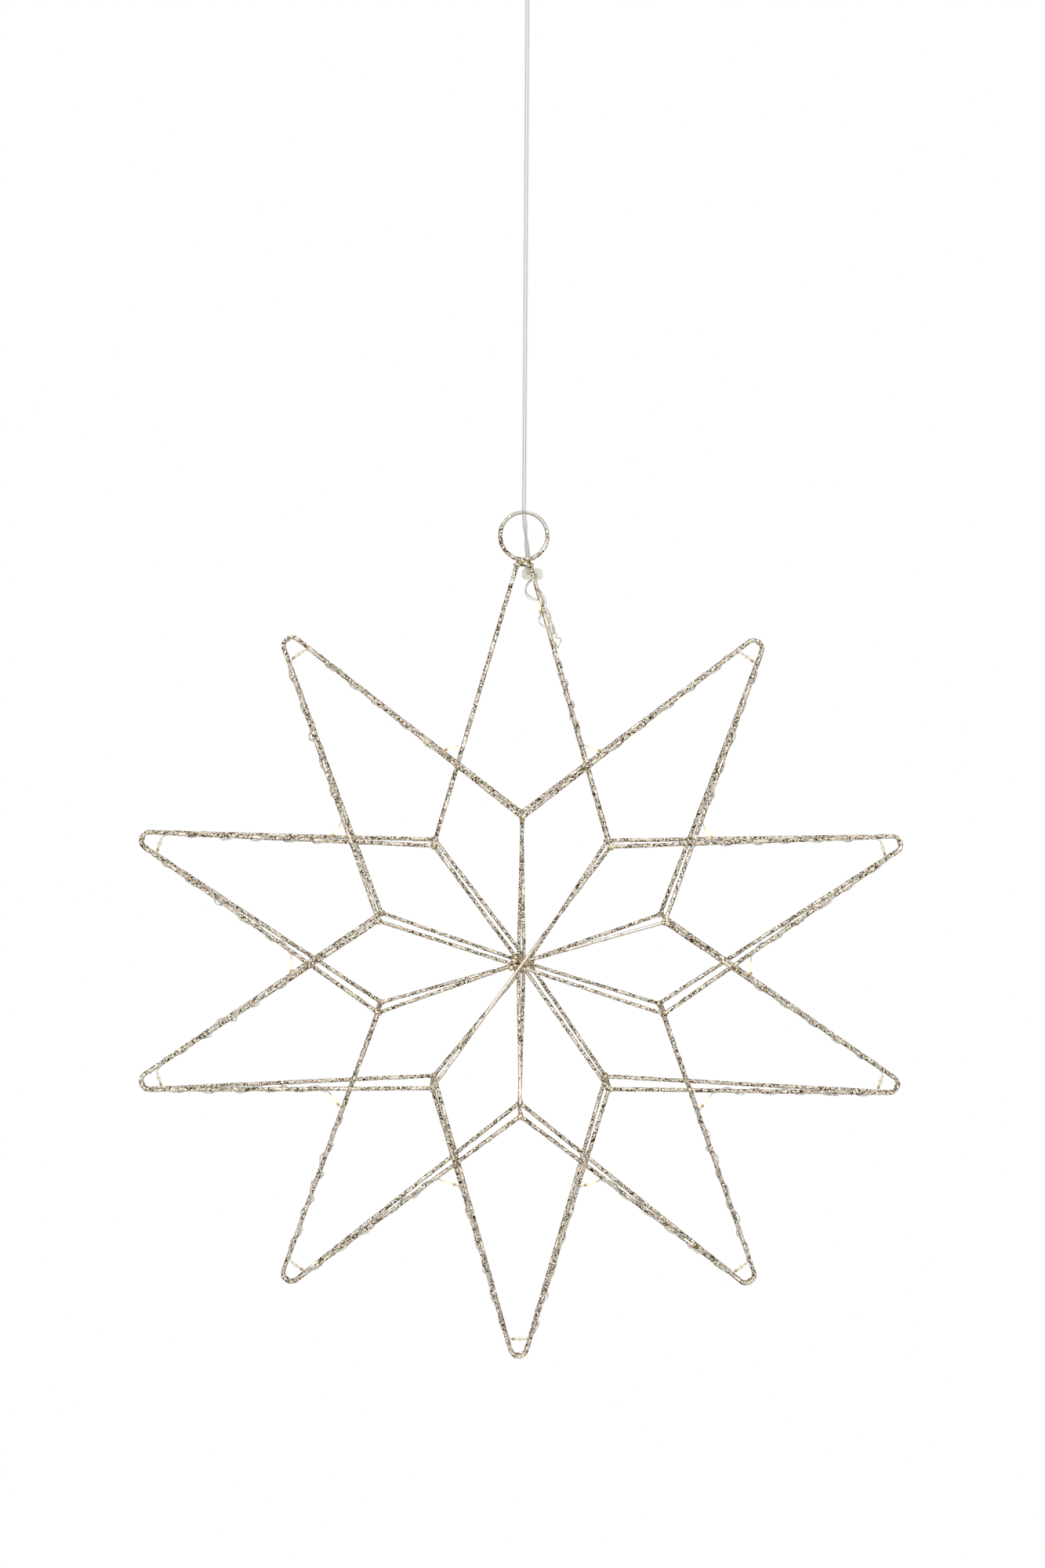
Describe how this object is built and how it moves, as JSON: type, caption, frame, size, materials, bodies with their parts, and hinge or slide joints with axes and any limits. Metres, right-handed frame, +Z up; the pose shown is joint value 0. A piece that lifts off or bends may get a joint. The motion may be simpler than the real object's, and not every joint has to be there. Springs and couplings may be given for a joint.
{
  "type": "hanging star",
  "caption": "Hanging window star of glittered wire: two crossed stars in two layers with spokes, a ring, a wound string of lights and its clear cable.",
  "frame": {"origin": "centre of the ceiling hook's flat top face, on the line of the cable", "axes": "+X right, +Y away from the viewer through the star's thin side, +Z up along the cable"},
  "size_m": [0.457, 0.0497, 0.8759],
  "materials": {
    "glitter_wire": "champagne glitter on steel wire, coarse flakes, partly smooth",
    "light_strand": "clear insulated fine wire with a silvery core",
    "led_drop": "clear epoxy drop, glowing warm white",
    "connector": "milky translucent plastic",
    "clear_cable": "clear twin cable with fine silvery cores",
    "clear_clip": "clear plastic",
    "hook": "white plastic"
  },
  "bodies": {
    "hook": {"hook_base": "hook", "hook_wire": "hook"},
    "cord": {"cable_loop": "clear_cable", "loop_clip": "clear_clip", "hanging_cable": "clear_cable"},
    "star": {"front_outline_a": "glitter_wire", "front_outline_b": "glitter_wire", "rear_outline_a": "glitter_wire", "rear_outline_b": "glitter_wire", "front_spoke_1": "glitter_wire", "front_spoke_2": "glitter_wire", "front_spoke_3": "glitter_wire", "front_spoke_4": "glitter_wire", "front_spoke_5": "glitter_wire", "rear_spoke_1": "glitter_wire", "rear_spoke_2": "glitter_wire", "rear_spoke_3": "glitter_wire", "rear_spoke_4": "glitter_wire", "rear_spoke_5": "glitter_wire", "spacer_rod_01": "glitter_wire", "spacer_rod_02": "glitter_wire", "spacer_rod_03": "glitter_wire", "spacer_rod_04": "glitter_wire", "spacer_rod_05": "glitter_wire", "spacer_rod_06": "glitter_wire", "spacer_rod_07": "glitter_wire", "spacer_rod_08": "glitter_wire", "spacer_rod_09": "glitter_wire", "spacer_rod_10": "glitter_wire", "hanging_ring": "glitter_wire", "light_strand": "light_strand", "led_drop_01": "led_drop", "led_drop_02": "led_drop", "led_drop_03": "led_drop", "led_drop_04": "led_drop", "led_drop_05": "led_drop", "led_drop_06": "led_drop", "led_drop_07": "led_drop", "led_drop_08": "led_drop", "led_drop_09": "led_drop", "led_drop_10": "led_drop", "led_drop_11": "led_drop", "led_drop_12": "led_drop", "led_drop_13": "led_drop", "led_drop_14": "led_drop", "led_drop_15": "led_drop", "led_drop_16": "led_drop", "led_drop_17": "led_drop", "led_drop_18": "led_drop", "led_drop_19": "led_drop", "led_drop_20": "led_drop", "connector_block": "connector", "ring_cable": "clear_cable"}
  },
  "joints": [
    {"name": "cable_swing", "type": "hinge", "parent": "hook", "child": "cord", "pos_m": [0, 0, -0.02], "axis": [0, 1, 0], "range_deg": [-30, 30]},
    {"name": "star_swivel", "type": "hinge", "parent": "cord", "child": "star", "pos_m": [0, 0, -0.3607], "axis": [0, 0, 1], "range_deg": [-180, 180]}
  ]
}
